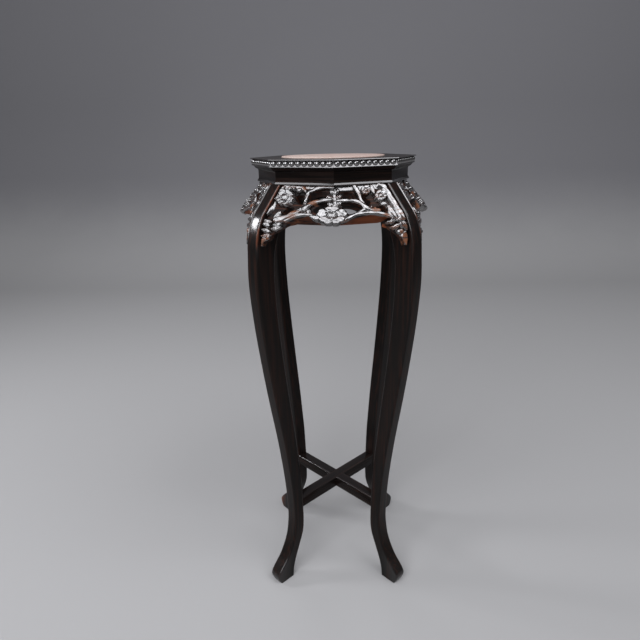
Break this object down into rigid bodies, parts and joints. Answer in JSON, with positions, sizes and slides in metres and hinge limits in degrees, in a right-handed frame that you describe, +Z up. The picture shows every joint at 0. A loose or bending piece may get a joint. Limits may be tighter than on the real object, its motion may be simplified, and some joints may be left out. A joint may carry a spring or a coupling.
{
  "type": "plant stand",
  "caption": "Tall octagonal carved hardwood stand with a beaded top, round marble panel, pierced blossom aprons, cabriole legs and crossed stretchers.",
  "frame": {"origin": "on the floor under the middle of the top", "axes": "+Z up, -Y towards the front corner of the octagon, legs on the diagonals"},
  "size_m": [0.3726, 0.3726, 0.914],
  "materials": {
    "lacquered_wood": "near-black stained hardwood under glossy lacquer, worn to red-brown on edges",
    "carved_wood": "near-black stained carving under glossy lacquer, red-brown on the high points",
    "bare_wood": "unfinished red-brown hardwood, out of sight",
    "marble": "polished pinkish beige marble with faint streaks, opaque"
  },
  "bodies": {
    "root": {"top_rail_1": "lacquered_wood", "top_rail_2": "lacquered_wood", "top_rail_3": "lacquered_wood", "top_rail_4": "lacquered_wood", "top_rail_5": "lacquered_wood", "top_rail_6": "lacquered_wood", "top_rail_7": "lacquered_wood", "top_rail_8": "lacquered_wood", "rail_splines": "bare_wood", "marble_panel": "marble", "batten_lower": "bare_wood", "batten_upper": "bare_wood", "waist_board_1": "lacquered_wood", "waist_board_2": "lacquered_wood", "waist_board_3": "lacquered_wood", "waist_board_4": "lacquered_wood", "waist_board_5": "lacquered_wood", "waist_board_6": "lacquered_wood", "waist_board_7": "lacquered_wood", "waist_board_8": "lacquered_wood", "apron_1": "carved_wood", "apron_2": "carved_wood", "apron_3": "carved_wood", "apron_4": "carved_wood", "apron_5": "carved_wood", "apron_6": "carved_wood", "apron_7": "carved_wood", "apron_8": "carved_wood", "blossom_front": "carved_wood", "blossom_right": "carved_wood", "blossom_back": "carved_wood", "blossom_left": "carved_wood", "leg_front_right": "lacquered_wood", "leg_back_right": "lacquered_wood", "leg_back_left": "lacquered_wood", "leg_front_left": "lacquered_wood", "stretcher_lower": "lacquered_wood", "stretcher_upper": "lacquered_wood"}
  },
  "joints": []
}
